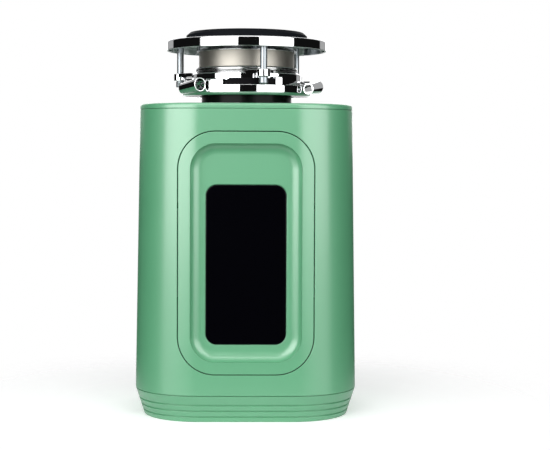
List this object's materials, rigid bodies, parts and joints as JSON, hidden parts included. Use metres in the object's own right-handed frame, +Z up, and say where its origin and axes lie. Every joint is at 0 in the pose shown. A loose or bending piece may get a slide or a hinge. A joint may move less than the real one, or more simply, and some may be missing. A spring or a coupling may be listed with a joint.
{
  "type": "food waste disposer",
  "caption": "Food waste disposer with a rounded-square moulded housing, recessed front panel and a clamped sink mount with locking ring on top.",
  "frame": {"origin": "on the drain axis, in the plane where the rim of the sink flange rests on the sink", "axes": "+Z up along the drain axis, the front panel faces -Y, the discharge elbow is at +Y, +X is to the right seen from the front"},
  "size_m": [0.1956, 0.2453, 0.34],
  "materials": {
    "housing_green": "moulded, glossy",
    "window_black": "high gloss",
    "chrome": "bright plated",
    "sleeve_steel": "brushed round the axis",
    "spring_steel": "bright wire",
    "screw_steel": "zinc plated",
    "rubber_black": "satin",
    "cushion_rubber": "satin",
    "neck_black": "glossy",
    "pipe_black": "satin",
    "grind_steel": "satin",
    "shaft_steel": "ground",
    "cast_aluminium": "as cast",
    "can_aluminium": "drawn",
    "bearing_bronze": "sintered",
    "copper_wire": "enamelled",
    "core_iron": "stacked sheet",
    "shell_paint": "satin black",
    "insulation_felt": "pressed felt",
    "button_red": "glossy",
    "terminal_black": "moulded",
    "terminal_white": "moulded",
    "lead_grey": "satin"
  },
  "bodies": {
    "root": {"sink_flange": "sleeve_steel", "snap_ring": "spring_steel", "mounting_ring": "chrome", "cushion_gasket": "cushion_rubber", "splash_guard": "rubber_black", "hopper": "neck_black", "top_cover": "housing_green", "outer_housing": "housing_green", "front_trim": "housing_green", "front_window": "window_black", "base_cover": "housing_green", "base_screws": "screw_steel", "shredder_ring": "grind_steel", "drain_chamber": "cast_aluminium", "chamber_seal": "rubber_black", "chamber_screws": "screw_steel", "discharge_gasket": "rubber_black", "discharge_tube": "pipe_black", "discharge_flange": "screw_steel", "discharge_bolts": "screw_steel", "upper_bearing": "bearing_bronze", "shaft_seal": "rubber_black", "lower_bearing": "bearing_bronze", "stator_core": "core_iron", "stator_windings": "copper_wire", "motor_shell": "shell_paint", "lower_end_frame": "cast_aluminium", "through_bolts": "screw_steel", "insulation_front": "insulation_felt", "insulation_back": "insulation_felt", "overload_protector": "terminal_black", "start_capacitor": "can_aluminium", "capacitor_strap": "screw_steel", "cord_gland": "pipe_black", "terminal_block": "terminal_white", "motor_leads": "lead_grey"},
    "clamp": {"support_flange": "chrome", "flange_gasket": "rubber_black"},
    "screw_1": {"mounting_screw_1": "screw_steel"},
    "screw_2": {"mounting_screw_2": "screw_steel"},
    "screw_3": {"mounting_screw_3": "screw_steel"},
    "lock": {"locking_ring": "chrome"},
    "rotor": {"motor_shaft": "shaft_steel", "rotor_core": "core_iron", "rotor_end_rings": "cast_aluminium", "turntable": "grind_steel", "impeller_rivets": "screw_steel", "thrust_washer": "bearing_bronze"},
    "hammer_1": {"impeller_1": "grind_steel"},
    "hammer_2": {"impeller_2": "grind_steel"},
    "button": {"reset_button": "button_red"}
  },
  "joints": [
    {"name": "rotor_spin", "type": "hinge", "parent": "root", "child": "rotor", "pos_m": [0, 0, -0.2563], "axis": [0, 0, 1], "continuous": true},
    {"name": "impeller_1_swing", "type": "hinge", "parent": "rotor", "child": "hammer_1", "pos_m": [-0.041, 0, -0.1793], "axis": [0, 0, 1], "continuous": true},
    {"name": "impeller_2_swing", "type": "hinge", "parent": "rotor", "child": "hammer_2", "pos_m": [0.041, 0, -0.1793], "axis": [0, 0, 1], "continuous": true},
    {"name": "locking_ring_turn", "type": "hinge", "parent": "root", "child": "lock", "pos_m": [0, 0, -0.0503], "axis": [0, 0, 1], "range_deg": [-38, 0]},
    {"name": "flange_lift", "type": "slide", "parent": "root", "child": "clamp", "axis": [0, 0, 1], "range_m": [-0.01, 0]},
    {"name": "screw_1_turn", "type": "hinge", "parent": "clamp", "child": "screw_1", "pos_m": [-0.0613, 0.01839, -0.0263], "axis": [0, 0, 1], "range_deg": [-2840, 0]},
    {"name": "screw_2_turn", "type": "hinge", "parent": "clamp", "child": "screw_2", "pos_m": [0.01472, -0.06228, -0.0263], "axis": [0, 0, 1], "range_deg": [-2840, 0]},
    {"name": "screw_3_turn", "type": "hinge", "parent": "clamp", "child": "screw_3", "pos_m": [0.04658, 0.04389, -0.0263], "axis": [0, 0, 1], "range_deg": [-2840, 0]},
    {"name": "reset_button_travel", "type": "slide", "parent": "root", "child": "button", "axis": [0, 0, 1], "range_m": [0, 0.0035], "stiffness_N_per_m": 200}
  ],
  "couplings": [
    {"joint": "screw_1_turn", "follows": "flange_lift", "rad_per_m": 4947.4},
    {"joint": "screw_2_turn", "follows": "flange_lift", "rad_per_m": 4947.4},
    {"joint": "screw_3_turn", "follows": "flange_lift", "rad_per_m": 4947.4}
  ]
}
